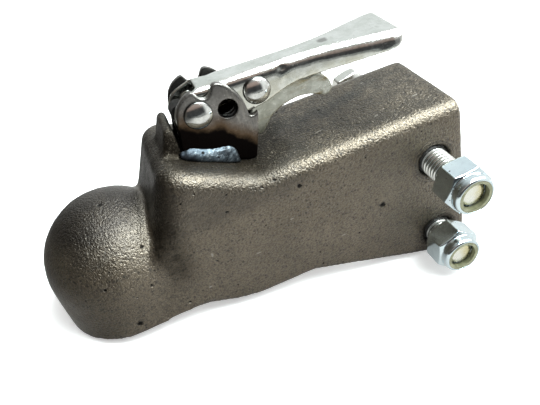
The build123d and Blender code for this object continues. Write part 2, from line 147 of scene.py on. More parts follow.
def make_mesh(name, parts):
    """One mesh of several (verts, faces) skins."""
    verts, faces = [], []
    for v, f in parts:
        base = len(verts)
        verts += v
        faces += [tuple(base + i for i in q) for q in f]
    me = bpy.data.meshes.new(name)
    me.from_pydata(verts, [], faces)
    bm = bmesh.new()
    bm.from_mesh(me)
    bmesh.ops.recalc_face_normals(bm, faces=bm.faces)
    bm.to_mesh(me)
    bm.free()
    set_smooth(me)
    return me


# ------------------------------------------------------------------ material helpers
class Nodes:
    def __init__(self, name):
        self.mat = bpy.data.materials.new(name)
        self.mat.use_nodes = True
        self.nt = self.mat.node_tree
        self.nt.nodes.clear()
        self.out = self.nt.nodes.new("ShaderNodeOutputMaterial")
        self.bsdf = self.nt.nodes.new("ShaderNodeBsdfPrincipled")
        self.nt.links.new(self.bsdf.outputs[0], self.out.inputs[0])
        tc = self.nt.nodes.new("ShaderNodeTexCoord")
        self.co = tc.outputs["Object"]
        self._xyz = None

    def put(self, socket, value):
        if hasattr(value, "is_output") or isinstance(value, bpy.types.NodeSocket):
            self.nt.links.new(value, socket)
        else:
            socket.default_value = value

    def set(self, **kw):
        names = {"color": "Base Color", "rough": "Roughness", "metal": "Metallic", "normal": "Normal", "spec": "Specular IOR Level", "coat": "Coat Weight", "coat_rough": "Coat Roughness"}
        for k, v in kw.items():
            self.put(self.bsdf.inputs[names[k]], v)

    def noise(self, scale, detail=3.0, rough=0.55, co=None, distort=0.0):
        t = self.nt.nodes.new("ShaderNodeTexNoise")
        t.inputs["Scale"].default_value = scale
        t.inputs["Detail"].default_value = detail
        t.inputs["Roughness"].default_value = rough
        t.inputs["Distortion"].default_value = distort
        self.nt.links.new(co or self.co, t.inputs["Vector"])
        return t.outputs["Fac"]

    def voronoi(self, scale, feature="F1", co=None, rand=1.0):
        t = self.nt.nodes.new("ShaderNodeTexVoronoi")
        t.feature = feature
        t.inputs["Scale"].default_value = scale
        t.inputs["Randomness"].default_value = rand
        self.nt.links.new(co or self.co, t.inputs["Vector"])
        return t.outputs["Distance"], t.outputs["Color"]

    def ramp(self, fac, stops, smooth=False):
        t = self.nt.nodes.new("ShaderNodeValToRGB")
        if smooth:
            t.color_ramp.interpolation = "EASE"
        el = t.color_ramp.elements
        while len(el) > 1:
            el.remove(el[-1])
        for i, (pos, c) in enumerate(stops):
            e = el[0] if i == 0 else el.new(pos)
            e.position = pos
            e.color = (c, c, c, 1) if isinstance(c, (int, float)) else (*c, 1)
        self.nt.links.new(fac, t.inputs["Fac"])
        return t.outputs["Color"]

    def math(self, op, a, b=None, c=None, clamp=False):
        t = self.nt.nodes.new("ShaderNodeMath")
        t.operation = op
        t.use_clamp = clamp
        self.put(t.inputs[0], a)
        if b is not None:
            self.put(t.inputs[1], b)
        if c is not None:
            self.put(t.inputs[2], c)
        return t.outputs[0]

    def span(self, v, a, b, lo=0.0, hi=1.0):
        t = self.nt.nodes.new("ShaderNodeMapRange")
        t.interpolation_type = "SMOOTHSTEP"
        self.put(t.inputs["Value"], v)
        t.inputs["From Min"].default_value = a
        t.inputs["From Max"].default_value = b
        t.inputs["To Min"].default_value = lo
        t.inputs["To Max"].default_value = hi
        return t.outputs[0]

    def mix(self, fac, a, b, mode="MIX"):
        t = self.nt.nodes.new("ShaderNodeMix")
        t.data_type = "RGBA"
        t.blend_type = mode
        t.clamp_factor = True
        self.put(t.inputs[0], fac)
        for sock, v in ((t.inputs[6], a), (t.inputs[7], b)):
            if isinstance(v, tuple):
                sock.default_value = (*v, 1) if len(v) == 3 else v
            else:
                self.put(sock, v)
        return t.outputs[2]

    def xyz(self):
        if self._xyz is None:
            t = self.nt.nodes.new("ShaderNodeSeparateXYZ")
            self.nt.links.new(self.co, t.inputs[0])
            self._xyz = t.outputs
        return self._xyz

    def far(self, point):
        t = self.nt.nodes.new("ShaderNodeVectorMath")
        t.operation = "DISTANCE"
        self.nt.links.new(self.co, t.inputs[0])
        t.inputs[1].default_value = point
        return t.outputs["Value"]

    def blob(self, center, size, turn=0.0):
        """Length from a centre, measured in half sizes, with the axes turned about Z."""
        t = self.nt.nodes.new("ShaderNodeMapping")
        t.vector_type = "TEXTURE"
        t.inputs["Location"].default_value = tuple(v * MM for v in center)
        t.inputs["Rotation"].default_value = (0.0, 0.0, math.radians(turn))
        t.inputs["Scale"].default_value = tuple(v * MM for v in size)
        self.nt.links.new(self.co, t.inputs["Vector"])
        q = self.nt.nodes.new("ShaderNodeVectorMath")
        q.operation = "LENGTH"
        self.nt.links.new(t.outputs[0], q.inputs[0])
        return q.outputs["Value"]

    def stretch(self, scale, turn=(0, 0, 0)):
        t = self.nt.nodes.new("ShaderNodeMapping")
        t.inputs["Scale"].default_value = scale
        t.inputs["Rotation"].default_value = turn
        self.nt.links.new(self.co, t.inputs["Vector"])
        return t.outputs[0]

    def bump(self, height, strength, dist, normal=None):
        t = self.nt.nodes.new("ShaderNodeBump")
        t.inputs["Strength"].default_value = strength
        t.inputs["Distance"].default_value = dist * MM
        self.nt.links.new(height, t.inputs["Height"])
        if normal is not None:
            self.nt.links.new(normal, t.inputs["Normal"])
        return t.outputs[0]


# pits of the casting: place in mm and radius
PITS = [
    (4.3, -4.9, 37.8, 1.25), (16.8, -27.8, 20.3, 0.9), (13.5, -35.9, 1.1, 0.9), (-7.4, -36.2, 10.2, 0.9),
    (-0.3, -38.4, -17.8, 1.6), (4.8, -38.1, -0.6, 0.6), (27.1, -35.1, -20.6, 0.9), (61.4, -34.1, 24.8, 0.85),
    (48.4, -34.1, -1.9, 0.65), (49.6, -34.1, 41.9, 0.6), (63.9, -34.1, 34.6, 0.7), (99.9, -34.1, 23.0, 1.3),
    (142.8, -34.1, -10.8, 1.7), (137.0, -34.1, 23.8, 0.7), (88.7, -32.6, 31.3, 0.9), (53.7, -34.1, -23.5, 0.6),
    (73.7, -34.1, -16.0, 0.5), (82.2, -34.1, -17.6, 0.6), (81.5, -33.3, 30.2, 0.7), (27.1, -33.0, 11.1, 0.6),
    (120.5, -29.7, 33.6, 0.6), (131.0, 9.0, 34.3, 0.9), (160.0, -14.0, 34.3, 0.8), (111.0, 24.0, 34.3, 1.0),
    (80.0, 34.1, 10.0, 1.2), (120.0, 34.1, -12.0, 1.4), (52.0, 34.1, -8.0, 0.9), (150.0, 34.1, 12.0, 1.0),
    (-22.0, 20.0, 23.5, 1.0), (95.0, 34.1, -22.0, 0.7), (176.0, -6.5, 34.3, 0.65), (187.0, -20.0, 34.3, 0.6),
    (169.0, -16.0, 34.3, 0.6), (137.0, -7.5, 34.3, 0.6),
]
# oily patches and bright scuffs: place, half sizes in mm, turn about Z in degrees
OIL = [((149.5, 10.5, 34.3), (14.0, 6.5, 4.0), 18.0, 0.85), ((131.0, 6.0, 34.3), (17.0, 8.0, 4.0), 10.0, 0.55), ((110.0, 8.0, 34.3), (17.0, 10.0, 9.0), 0.0, 0.5), ((163.0, 18.0, 34.3), (9.0, 7.0, 4.0), 10.0, 0.45)]
SCUFFS = [((178.5, -12.5, 34.2), (2.2, 0.7, 0.8), 20.0), ((163.0, 19.5, 34.2), (1.0, 0.6, 0.8), 0.0), ((153.0, -17.0, 34.2), (1.5, 0.5, 0.8), 15.0), ((122.5, -11.0, 34.2), (2.6, 0.5, 0.8), 12.0), ((70.0, -34.0, -8.0), (1.6, 0.8, 0.5), 0.0), ((47.0, -34.0, 3.0), (0.6, 0.8, 1.4), 0.0), ((92.0, -34.0, 5.0), (1.0, 0.8, 0.5), 0.0), ((118.0, -34.0, -20.0), (1.8, 0.8, 0.5), 0.0), ((40.0, -34.0, -17.0), (1.2, 0.8, 0.6), 0.0)]
SHELF_Z0, SHELF_X0, SHELF_SLOPE = 49.6, 51.7, 0.49


def casting_material():
    n = Nodes("cast_iron_skin")
    x, y, z = n.xyz()
    cloud = n.noise(38.0, 5.0, 0.6)
    blotch = n.noise(140.0, 4.0, 0.6)
    grain = n.noise(1700.0, 2.0, 0.5)
    sand = n.noise(860.0, 2.0, 0.55)
    col = n.mix(n.span(cloud, 0.32, 0.70), (0.132, 0.106, 0.071), (0.187, 0.152, 0.106))
    col = n.mix(n.span(blotch, 0.40, 0.72), col, (0.158, 0.125, 0.083))
    col = n.mix(n.span(sand, 0.60, 0.34, 0.0, 0.60), col, (0.032, 0.026, 0.019))
    col = n.mix(n.span(grain, 0.56, 0.72, 0.0, 0.55), col, (0.290, 0.255, 0.210))
    # dark pinholes, painted near black as painted shade in them, and pale dust specks
    d1, c1 = n.voronoi(165.0)
    sep = n.nt.nodes.new("ShaderNodeSeparateColor")
    n.nt.links.new(c1, sep.inputs[0])
    hole = n.math("LESS_THAN", d1, n.span(sep.outputs[0], 0.50, 1.0, 0.0, 0.108))
    d2, c2 = n.voronoi(300.0)
    sep2 = n.nt.nodes.new("ShaderNodeSeparateColor")
    n.nt.links.new(c2, sep2.inputs[0])
    dust = n.math("LESS_THAN", d2, n.span(sep2.outputs[1], 0.80, 1.0, 0.0, 0.14))
    col = n.mix(n.math("MULTIPLY", dust, 0.6), col, (0.40, 0.365, 0.31))
    col = n.mix(n.math("MULTIPLY", hole, 0.9), col, (0.012, 0.011, 0.010))
    d3, c3 = n.voronoi(560.0)
    sep3 = n.nt.nodes.new("ShaderNodeSeparateColor")
    n.nt.links.new(c3, sep3.inputs[0])
    fleck = n.span(n.math("SUBTRACT", d3, n.span(sep3.outputs[0], 0.35, 1.0, -0.1, 0.34)), 0.10, -0.02)
    col = n.mix(n.math("MULTIPLY", fleck, 0.74), col, (0.020, 0.016, 0.012))
    # larger blow holes, painted near black: painted shade in the pits
    near = None
    for px, py, pz, pr in PITS:
        q = n.math("MULTIPLY", n.far((px * MM, py * MM, pz * MM)), 1.0 / (pr * MM))
        near = q if near is None else n.math("MINIMUM", near, q)
    wob = n.math("ADD", near, n.math("MULTIPLY", n.math("SUBTRACT", n.noise(700.0, 2.0), 0.5), 1.1))
    pit = n.span(wob, 0.55, 1.25, 1.0, 0.0)
    col = n.mix(n.math("MULTIPLY", pit, 0.92), col, (0.010, 0.009, 0.008))
    # soot of the welding on the shelf and on the lip, both sides; it is stretched to also paint the shade beneath the
    # weld and under the lever
    ay = n.math("ABSOLUTE", y)
    top = n.math("ADD", n.math("MULTIPLY", x, -SHELF_SLOPE), (SHELF_Z0 + SHELF_SLOPE * SHELF_X0) * MM)
    up = n.math("ABSOLUTE", n.math("SUBTRACT", z, top))
    sx = n.math("MULTIPLY", n.math("SUBTRACT", x, 77.0 * MM), 1 / (33.0 * MM))
    sy = n.math("MULTIPLY", n.math("SUBTRACT", ay, 9.0 * MM), 1 / (17.5 * MM))
    su = n.math("MULTIPLY", up, 1 / (20.0 * MM))
    q = n.math("ADD", n.math("ADD", n.math("MULTIPLY", sx, sx), n.math("MULTIPLY", sy, sy)), n.math("MULTIPLY", su, su))
    q = n.math("ADD", q, n.math("MULTIPLY", n.math("SUBTRACT", n.noise(110.0, 4.0), 0.5), 0.9))
    soot = n.span(q, 0.58, 2.20, 0.97, 0.0)
    lip = n.math("MULTIPLY", n.span(z, 47.0 * MM, 50.5 * MM), n.span(ay, 22.0 * MM, 15.0 * MM))
    soot = n.math("MAXIMUM", soot, n.math("MULTIPLY", lip, n.span(n.noise(160.0, 3.0), 0.3, 0.7, 0.9, 0.6)))
    col = n.mix(soot, col, (0.020, 0.017, 0.014))
    # the top faces are darkened: mottled dirt, and painted shade that dims the roof and the dome's top all over
    flat = n.math("MULTIPLY", n.span(ay, 31.5 * MM, 25.0 * MM), n.span(z, 25.0 * MM, 32.5 * MM))
    patch = n.span(n.noise(62.0, 5.0, 0.7), 0.36, 0.62, 0.42, 0.95)
    col = n.mix(n.math("MULTIPLY", n.math("MULTIPLY", flat, patch), 0.95), col, (0.031, 0.025, 0.016))
    # oily patches on the roof under the trigger, and small bright scuffs
    ragged = n.math("MULTIPLY", n.math("SUBTRACT", n.noise(130.0, 5.0, 0.7), 0.5), 1.5)
    for centre, size, turn, share in OIL:
        q = n.math("ADD", n.blob(centre, size, turn), ragged)
        col = n.mix(n.span(q, 1.15, 0.25, 0.0, share), col, (0.016, 0.016, 0.012))
    scuff = None
    for centre, size, turn in SCUFFS:
        q = n.blob(centre, size, turn)
        scuff = q if scuff is None else n.math("MINIMUM", scuff, q)
    scuff = n.math("ADD", scuff, n.math("MULTIPLY", n.math("SUBTRACT", n.noise(900.0, 2.0), 0.5), 0.9))
    col = n.mix(n.span(scuff, 1.1, 0.7, 0.0, 0.7), col, (0.36, 0.335, 0.29))
    # the dome's shoulder is painted a little brighter: a painted sheen
    painted_sheen = n.math("MULTIPLY", n.span(n.far((0.0, 0.0, 0.0)), 41.5 * MM, 39.8 * MM), n.math("MULTIPLY", n.span(x, 0.0 * MM, 14.0 * MM), n.span(z, 8.0 * MM, 20.0 * MM)))
    painted_sheen = n.math("MULTIPLY", n.math("MULTIPLY", painted_sheen, n.span(z, 33.0 * MM, 29.5 * MM)), n.span(n.noise(240.0, 3.0, 0.6), 0.30, 0.62, 0.15, 0.50))
    col = n.mix(painted_sheen, col, (0.225, 0.196, 0.155))
    # salt and pepper of the rough skin on the roof
    col = n.mix(n.math("MULTIPLY", flat, n.span(grain, 0.56, 0.68, 0.0, 0.55)), col, (0.24, 0.215, 0.18))
    col = n.mix(n.math("MULTIPLY", flat, n.span(sand, 0.59, 0.71, 0.0, 0.60)), col, (0.27, 0.235, 0.185))
    col = n.mix(n.math("MULTIPLY", flat, n.span(sand, 0.43, 0.30, 0.0, 0.80)), col, (0.008, 0.007, 0.006))
    # a mottled painted shadow of the bead on the shelf in front of the weld
    under_weld_shadow = n.math("MULTIPLY", n.math("MULTIPLY", n.span(x, 44.0 * MM, 50.0 * MM), n.span(x, 96.0 * MM, 80.0 * MM)), n.span(ay, 27.5 * MM, 22.5 * MM))
    under_weld_shadow = n.math("MULTIPLY", under_weld_shadow, n.span(up, 6.0 * MM, 2.5 * MM))
    col = n.mix(n.math("MULTIPLY", under_weld_shadow, n.span(n.noise(230.0, 4.0, 0.7), 0.32, 0.66, 0.88, 0.38)), col, (0.024, 0.018, 0.011))
    # the crown of the dome gets painted shade, darker than the rest
    crown_shade = n.math("MULTIPLY", n.span(z, 20.0 * MM, 34.0 * MM), n.span(x, 30.0 * MM, 20.0 * MM))
    col = n.mix(n.math("MULTIPLY", crown_shade, n.span(cloud, 0.3, 0.7, 0.52, 0.70)), col, (0.034, 0.029, 0.028))
    # the front of the long edge gets painted shade that dims its highlight, and every pit stays dark with painted shade
    edge_shade = n.math("MULTIPLY", n.math("MULTIPLY", n.span(x, 116.0 * MM, 94.0 * MM), n.span(ay, 21.0 * MM, 27.0 * MM)), n.span(z, 16.0 * MM, 25.0 * MM))
    col = n.mix(n.math("MULTIPLY", edge_shade, n.span(n.noise(210.0, 4.0, 0.65), 0.30, 0.65, 0.20, 0.60)), col, (0.052, 0.043, 0.032))
    col = n.mix(n.math("MULTIPLY", n.math("MAXIMUM", pit, n.math("MULTIPLY", hole, 0.8)), 0.92), col, (0.010, 0.009, 0.008))
    # rubbed rings where the nuts have been drawn up
    dx = n.math("SUBTRACT", x, 175.5 * MM)
    ring = None
    for zc in (4.9, -45.9):
        dz = n.math("SUBTRACT", z, zc * MM)
        rr = n.math("SQRT", n.math("ADD", n.math("MULTIPLY", dx, dx), n.math("MULTIPLY", dz, dz)))
        rr = n.math("ADD", n.math("MULTIPLY", rr, 1 / MM), n.math("MULTIPLY", n.math("SUBTRACT", n.noise(320.0, 2.0), 0.5), 0.9))
        ring = rr if ring is None else n.math("MINIMUM", ring, rr)
    sides = n.span(ay, 33.0 * MM, 33.6 * MM)
    lines = n.ramp(n.math("MULTIPLY", ring, 0.05), [(0.0, 0.0), (0.44, 0.30), (0.545, 0.35), (0.575, 1.0), (0.60, 0.12), (0.640, 0.0), (0.665, 0.7), (0.69, 0.0)])
    lines = n.math("MULTIPLY", n.math("MULTIPLY", lines, sides), n.span(n.noise(180.0, 2.0), 0.30, 0.55, 0.35, 1.0))
    col = n.mix(n.math("MULTIPLY", lines, 0.72), col, (0.030, 0.026, 0.022))
    # painted shade in the corners, taken from ambient occlusion
    ao = n.nt.nodes.new("ShaderNodeAmbientOcclusion")
    ao.samples = 6
    ao.inputs["Distance"].default_value = 12.0 * MM
    corner_shade = n.span(ao.outputs["AO"], 0.76, 0.36, 0.0, 0.92)
    # painted shade on the neck's front beside the dome
    out = n.span(n.far((0.0, 0.0, 0.0)), 39.6 * MM, 42.5 * MM)
    neck = n.math("MULTIPLY", n.math("MULTIPLY", n.span(x, 44.0 * MM, 29.0 * MM), n.span(z, -14.0 * MM, 4.0 * MM)), out)
    corner_shade = n.math("MAXIMUM", corner_shade, n.math("MULTIPLY", neck, n.span(n.noise(170.0, 4.0, 0.6), 0.3, 0.7, 0.56, 0.88)))
    col = n.mix(corner_shade, col, (0.016, 0.013, 0.009))
    n.set(color=col)
    r = n.span(blotch, 0.25, 0.8, 0.34, 0.45)
    r = n.math("ADD", r, n.math("MULTIPLY", soot, 0.14))
    dull = n.math("MAXIMUM", n.math("MAXIMUM", pit, hole), n.math("MAXIMUM", soot, corner_shade))
    dull = n.math("MAXIMUM", dull, n.math("MULTIPLY", flat, 0.55))
    n.set(rough=r, metal=0.90)
    n.set(coat=n.math("MULTIPLY", n.math("SUBTRACT", 1.0, dull), 0.95))
    n.set(coat_rough=n.math("SUBTRACT", r, 0.06))
    h = n.math("ADD", n.math("MULTIPLY", grain, 0.32), n.math("MULTIPLY", sand, 0.68))
    b = n.bump(h, 1.0, 0.85)
    deep = n.math("MAXIMUM", n.math("MAXIMUM", pit, n.math("MULTIPLY", hole, 0.6)), n.math("MULTIPLY", lines, 0.5))
    b = n.bump(n.math("SUBTRACT", 1.0, deep), 0.8, 0.5, b)
    n.set(normal=b)
    n.put(n.bsdf.inputs["Coat Normal"], b)
    return n.mat


def zinc_material(name, base, tint, low, high, mottle=0.05, mottle_scale=330.0, stain=None, specks=0.0):
    n = Nodes(name)
    cloud = n.noise(70.0, 4.0, 0.6)
    fine = n.noise(520.0, 3.0, 0.55)
    col = n.mix(n.span(cloud, 0.35, 0.72), base, tint)
    if stain is not None:
        s = n.span(n.noise(95.0, 5.0, 0.65, distort=0.6), 0.56, 0.76, 0.0, 0.55)
        col = n.mix(s, col, stain)
    line = n.noise(60.0, 2.0, 0.5, co=n.stretch((3.0, 34.0, 34.0)))
    dark = n.span(n.noise(900.0, 2.0), 0.70, 0.80, 0.0, 0.35)
    col = n.mix(dark, col, (0.30, 0.30, 0.29))
    if specks:
        d, c = n.voronoi(420.0)
        sp = n.nt.nodes.new("ShaderNodeSeparateColor")
        n.nt.links.new(c, sp.inputs[0])
        nick = n.math("LESS_THAN", d, n.span(sp.outputs[0], 0.84, 1.0, 0.0, 0.20))
        col = n.mix(n.math("MULTIPLY", nick, specks), col, (0.03, 0.03, 0.032))
    r = n.math("ADD", n.span(fine, 0.3, 0.75, low, high), n.span(line, 0.45, 0.75, 0.0, 0.05))
    n.set(color=col, rough=r, metal=1.0)
    b = n.bump(n.noise(mottle_scale, 2.0, 0.5), mottle, 0.25)
    b = n.bump(line, 0.02, 0.10, b)
    n.set(normal=b)
    return n.mat


def lever_material():
    n = Nodes("zinc_lever_skin")
    x, y, z = n.xyz()
    cloud = n.noise(75.0, 5.0, 0.65)
    fine = n.noise(560.0, 3.0, 0.6)
    col = n.mix(n.span(cloud, 0.34, 0.68), (0.84, 0.86, 0.83), (0.68, 0.71, 0.665))
    col = n.mix(n.span(n.noise(240.0, 4.0, 0.65), 0.56, 0.75, 0.0, 0.45), col, (0.50, 0.515, 0.475))
    ay = n.math("ABSOLUTE", y)
    drop = n.math("SUBTRACT", n.math("ADD", n.math("MULTIPLY", x, -0.030), 80.97 * MM), z)
    drop = n.math("MULTIPLY", drop, 1 / MM)
    # a dark band that follows the bend on the outer sides: a painted reflection of the dim surroundings in front
    wob = n.math("ADD", drop, n.math("MULTIPLY", n.math("SUBTRACT", n.noise(130.0, 4.0, 0.6, co=n.stretch((0.35, 1.0, 1.0))), 0.5), 2.2))
    dark_reflection_band = n.math("MULTIPLY", n.span(wob, 1.9, 3.2), n.span(wob, 7.2, 5.2))
    dark_reflection_band = n.math("MULTIPLY", dark_reflection_band, n.span(n.noise(420.0, 3.0, 0.6), 0.30, 0.60, 0.35, 1.0))
    dark_reflection_band = n.math("MULTIPLY", dark_reflection_band, n.span(x, 84.0 * MM, 98.0 * MM, 0.35, 1.0))
    col = n.mix(n.math("MULTIPLY", dark_reflection_band, 0.42), col, (0.185, 0.160, 0.150))
    # yellowed film low on the sides and round the trigger's pin
    film = n.math("MULTIPLY", n.span(wob, 5.5, 8.5), n.span(n.noise(110.0, 4.0, 0.6), 0.36, 0.64, 0.15, 0.8))
    col = n.mix(film, col, (0.66, 0.66, 0.56))
    # painted shade in the pin hole
    hx = n.math("SUBTRACT", x, 80.0 * MM)
    hz = n.math("SUBTRACT", z, 65.9 * MM)
    bore = n.math("SQRT", n.math("ADD", n.math("MULTIPLY", hx, hx), n.math("MULTIPLY", hz, hz)))
    bore = n.span(bore, 6.2 * MM, 5.4 * MM)
    col = n.mix(n.math("MULTIPLY", bore, 0.97), col, (0.006, 0.006, 0.006))
    # rubbed mark on the top of the handle
    mark = n.far((136.9 * MM, -0.6 * MM, 76.9 * MM))
    mark = n.math("ADD", mark, n.math("MULTIPLY", n.math("SUBTRACT", n.noise(300.0, 3.0), 0.5), 3.0 * MM))
    col = n.mix(n.span(mark, 3.4 * MM, 1.4 * MM, 0.0, 0.7), col, (0.17, 0.165, 0.155))
    under = n.span(ay, 5.6 * MM, 5.0 * MM)
    nick = n.span(n.noise(1000.0, 2.0), 0.68, 0.80, 0.0, 0.4)
    col = n.mix(nick, col, (0.28, 0.28, 0.265))
    line = n.noise(60.0, 2.0, 0.5, co=n.stretch((2.0, 30.0, 30.0)))
    r = n.math("ADD", n.span(fine, 0.3, 0.75, 0.10, 0.18), n.math("MULTIPLY", n.math("MAXIMUM", dark_reflection_band, film), 0.07))
    r = n.math("ADD", r, n.span(line, 0.45, 0.75, 0.0, 0.05))
    n.set(color=col, rough=r, metal=1.0)
    b = n.bump(n.noise(150.0, 2.0, 0.5), 0.05, 0.6)
    b = n.bump(fine, 0.03, 0.2, b)
    b = n.bump(line, 0.03, 0.12, b)
    n.set(normal=b)
    return n.mat


def trigger_material():
    n = Nodes("zinc_trigger_skin")
    x, y, z = n.xyz()
    cloud = n.noise(85.0, 5.0, 0.65)
    fine = n.noise(620.0, 3.0, 0.6)
    col = n.mix(n.span(cloud, 0.36, 0.66), (0.66, 0.675, 0.61), (0.43, 0.44, 0.375))
    grey = n.span(n.noise(190.0, 4.0, 0.65), 0.50, 0.70, 0.0, 0.6)
    col = n.mix(grey, col, (0.30, 0.305, 0.27))
    # yellow-brown streaks towards the tip
    streak = n.noise(55.0, 4.0, 0.6, co=n.stretch((1.0, 1.0, 5.0), (0.0, -0.45, 0.0)), distort=0.4)
    tip = n.span(x, 104.0 * MM, 128.0 * MM, 0.35, 1.0)
    col = n.mix(n.math("MULTIPLY", n.span(streak, 0.50, 0.66, 0.0, 0.75), tip), col, (0.27, 0.205, 0.085))
    nick = n.span(n.noise(1000.0, 2.0), 0.68, 0.80, 0.0, 0.5)
    col = n.mix(nick, col, (0.20, 0.20, 0.18))
    n.set(color=col, rough=n.span(fine, 0.3, 0.75, 0.26, 0.40), metal=1.0)
    b = n.bump(n.noise(170.0, 3.0, 0.55), 0.12, 0.6)
    b = n.bump(fine, 0.06, 0.2, b)
    n.set(normal=b)
    return n.mat


def rivet_material():
    n = Nodes("zinc_rivet_skin")
    x, y, z = n.xyz()
    cloud = n.noise(260.0, 4.0, 0.6)
    fine = n.noise(700.0, 3.0, 0.55)
    col = n.mix(n.span(cloud, 0.35, 0.72), (0.78, 0.795, 0.77), (0.60, 0.61, 0.59))
    rad = None
    for cx, cz in ((65.5, 68.3), (96.7, 67.9)):
        dx = n.math("SUBTRACT", x, cx * MM)
        dz = n.math("SUBTRACT", z, cz * MM)
        rr = n.math("SQRT", n.math("ADD", n.math("MULTIPLY", dx, dx), n.math("MULTIPLY", dz, dz)))
        rad = rr if rad is None else n.math("MINIMUM", rad, rr)
    # a dark ring at the edge of each head: painted shade round the rim
    rim = n.math("ADD", rad, n.math("MULTIPLY", n.math("SUBTRACT", n.noise(350.0, 2.0), 0.5), 0.7 * MM))
    rim_shade = n.span(rim, 6.3 * MM, 6.95 * MM)
    col = n.mix(n.math("MULTIPLY", rim_shade, 0.9), col, (0.020, 0.021, 0.020))
    n.set(color=col, rough=n.span(fine, 0.3, 0.75, 0.11, 0.20), metal=1.0)
    n.set(normal=n.bump(n.noise(260.0, 2.0, 0.5), 0.05, 0.35))
    return n.mat


def bolt_material():
    n = Nodes("zinc_bolt_skin")
    x, y, z = n.xyz()
    cloud = n.noise(110.0, 4.0, 0.6)
    fine = n.noise(620.0, 3.0, 0.55)
    col = n.mix(n.span(cloud, 0.35, 0.72), (0.80, 0.81, 0.78), (0.70, 0.71, 0.66))
    # painted shade in the thread roots
    dx = n.math("SUBTRACT", x, 175.5 * MM)
    rad = None
    for zc in (4.3, -46.5):
        dz = n.math("SUBTRACT", z, zc * MM)
        rr = n.math("SQRT", n.math("ADD", n.math("MULTIPLY", dx, dx), n.math("MULTIPLY", dz, dz)))
        rad = rr if rad is None else n.math("MINIMUM", rad, rr)
    root_shade = n.math("MULTIPLY", n.span(rad, 7.55 * MM, 7.05 * MM), n.span(rad, 6.4 * MM, 6.7 * MM))
    col = n.mix(n.math("MULTIPLY", root_shade, 0.93), col, (0.030, 0.032, 0.020))
    ay = n.math("ABSOLUTE", y)
    # painted shade on the bolts inside the casting's walls
    wall = n.math("MULTIPLY", n.span(ay, 35.0 * MM, 33.9 * MM), n.span(ay, 26.0 * MM, 27.0 * MM))
    col = n.mix(n.math("MULTIPLY", wall, 0.96), col, (0.012, 0.011, 0.010))
    root_shade = n.math("MAXIMUM", root_shade, wall)
    # yellow passivation on the cut ends
    low = n.math("LESS_THAN", z, -0.02)
    lim = n.math("ADD", n.math("MULTIPLY", low, 11.5 * MM), -67.6 * MM)
    cut = n.math("MULTIPLY", n.math("LESS_THAN", y, lim), n.span(rad, 6.6 * MM, 6.3 * MM))
    drift = n.math("ADD", x, n.math("MULTIPLY", n.math("SUBTRACT", n.noise(200.0, 3.0, 0.55), 0.5), 11.0 * MM))
    tint = n.mix(n.span(drift, 173.5 * MM, 180.0 * MM), (0.90, 0.91, 0.84), (0.76, 0.70, 0.42))
    col = n.mix(n.math("MULTIPLY", cut, 0.9), col, tint)
    r = n.math("ADD", n.span(fine, 0.3, 0.75, 0.14, 0.24), n.math("MULTIPLY", cut, 0.10))
    r = n.math("ADD", r, n.math("MULTIPLY", root_shade, 0.25))
    n.set(color=col, rough=r, metal=n.math("SUBTRACT", 1.0, n.math("MULTIPLY", root_shade, 0.5)))
    n.set(normal=n.bump(n.noise(480.0, 3.0, 0.5), 0.06, 0.25))
    return n.mat


def plate_material():
    n = Nodes("bracket_steel_skin")
    x, y, z = n.xyz()
    top = n.math("ADD", n.math("MULTIPLY", x, -SHELF_SLOPE), (SHELF_Z0 + SHELF_SLOPE * SHELF_X0) * MM)
    up = n.math("MULTIPLY", n.math("SUBTRACT", z, top), 1 / MM)
    cloud = n.noise(120.0, 4.0, 0.6)
    fine = n.noise(700.0, 3.0, 0.6)
    col = n.mix(n.span(cloud, 0.35, 0.7), (0.172, 0.165, 0.156), (0.268, 0.258, 0.244))
    col = n.mix(n.span(fine, 0.45, 0.8, 0.0, 0.5), col, (0.11, 0.103, 0.095))
    brush = n.span(n.noise(90.0, 3.0, 0.6, co=n.stretch((9.0, 9.0, 0.8))), 0.42, 0.70, 0.0, 0.4)
    col = n.mix(n.math("MULTIPLY", brush, n.span(x, 76.0 * MM, 86.0 * MM)), col, (0.42, 0.40, 0.35))
    wave = n.math("MULTIPLY", n.math("SUBTRACT", n.noise(85.0, 5.0, 0.65), 0.5), 13.0)
    h = n.math("ADD", n.math("ADD", up, wave), n.math("MULTIPLY", n.math("MAXIMUM", n.math("SUBTRACT", x, 76.0 * MM), 0.0), 0.45 / MM))
    heat = n.span(h, 17.5, 29.5, 0.90, 0.0)
    col = n.mix(heat, col, (0.094, 0.054, 0.024))
    soot = n.span(h, 15.5, 20.5, 0.99, 0.0)
    col = n.mix(soot, col, (0.0025, 0.002, 0.002))
    # painted shade in the pin hole
    hx = n.math("SUBTRACT", x, 80.0 * MM)
    hz = n.math("SUBTRACT", z, 65.9 * MM)
    hole = n.math("SQRT", n.math("ADD", n.math("MULTIPLY", hx, hx), n.math("MULTIPLY", hz, hz)))
    bore = n.span(hole, 5.25 * MM, 4.9 * MM)
    col = n.mix(n.math("MULTIPLY", bore, 0.96), col, (0.006, 0.006, 0.006))
    ay = n.math("ABSOLUTE", y)
    # the plates' inner faces, which face each other, get painted shade
    inner_face_shade = n.span(ay, 9.3 * MM, 9.7 * MM, 1.0, 0.0)
    col = n.mix(n.math("MULTIPLY", inner_face_shade, 0.95), col, (0.008, 0.0075, 0.007))
    r = n.math("ADD", n.span(fine, 0.3, 0.75, 0.26, 0.40), n.math("MULTIPLY", soot, 0.30))
    m = n.math("SUBTRACT", 0.95, n.math("MULTIPLY", n.math("MAXIMUM", soot, inner_face_shade), 0.45))
    n.set(color=col, rough=r, metal=m)
    n.set(spec=0.0)
    b = n.bump(n.noise(420.0, 3.0, 0.5), 0.10, 0.2)
    n.set(normal=b)
    return n.mat


